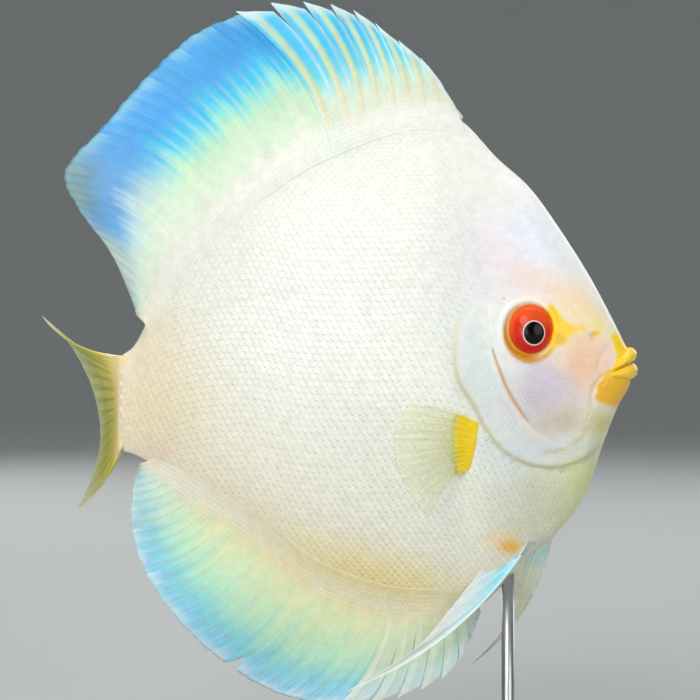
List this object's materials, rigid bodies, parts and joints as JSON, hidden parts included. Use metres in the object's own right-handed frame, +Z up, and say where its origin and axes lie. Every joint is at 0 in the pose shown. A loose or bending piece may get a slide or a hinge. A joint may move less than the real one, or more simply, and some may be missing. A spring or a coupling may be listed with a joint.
{
  "type": "discus fish",
  "caption": "Still life-size figure of an adult discus fish, a tall flat-sided ivory cichlid with blue-edged fins, on a flat base with one rod.",
  "frame": {"origin": "middle of the underside of the stand's base", "axes": "+X the way the fish faces, +Y to its left, +Z up"},
  "size_m": [0.1651, 0.084, 0.2094],
  "materials": {
    "skin": "ivory scaled skin, satin",
    "lip": "smooth yellow lips",
    "eye": "red iris with a black pupil, glossy",
    "fin_blue": "thin ribbed fin, pale blue",
    "fin_yellow": "thin ribbed fin, yellow-green",
    "stand_metal": "brushed rod",
    "stand_wood": "dark oiled wood"
  },
  "bodies": {
    "root": {"head": "skin", "torso": "skin", "tail_stalk": "skin", "gill_cover_left": "skin", "gill_cover_right": "skin", "lip_upper": "lip", "lip_lower": "lip", "eye_left": "eye", "eye_right": "eye", "dorsal_fin_spiny": "fin_blue", "dorsal_fin_soft": "fin_blue", "anal_fin_spiny": "fin_blue", "anal_fin_soft": "fin_blue", "pelvic_fin_left": "fin_blue", "pelvic_fin_right": "fin_blue", "caudal_fin": "fin_yellow", "pectoral_fin_left": "fin_yellow", "pectoral_fin_right": "fin_yellow", "stand_rod": "stand_metal", "stand_base": "stand_wood"}
  },
  "joints": []
}
